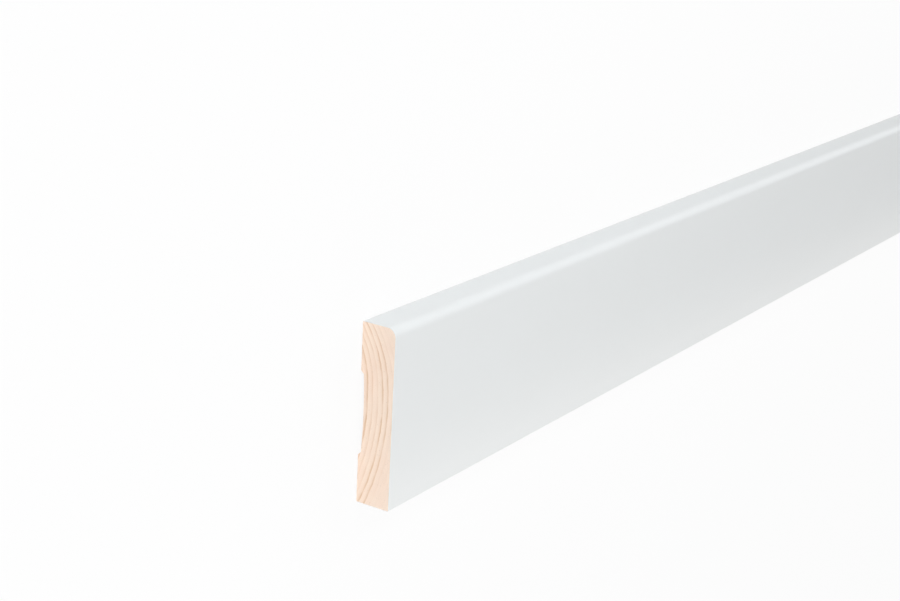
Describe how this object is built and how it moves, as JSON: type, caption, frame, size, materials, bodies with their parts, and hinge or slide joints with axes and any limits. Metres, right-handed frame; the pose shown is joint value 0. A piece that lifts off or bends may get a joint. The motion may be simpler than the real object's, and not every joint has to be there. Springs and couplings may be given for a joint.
{
  "type": "architrave moulding",
  "caption": "Straight painted pine architrave with a flat face, one rounded long edge, a shallow relief along the back and square-sawn bare ends, for trimming round doors and windows.",
  "frame": {"origin": "middle of the length and width, on the plane of the back, which lies on the floor", "axes": "+X along the length, +Y across the width towards the rounded edge, +Z from the back out through the face"},
  "size_m": [2.2, 0.058, 0.012],
  "materials": {
    "painted_pine": "satin white factory paint on the face and both long edges, bare pine on the back and on the sawn ends"
  },
  "bodies": {
    "root": {"architrave": "painted_pine"}
  },
  "joints": []
}
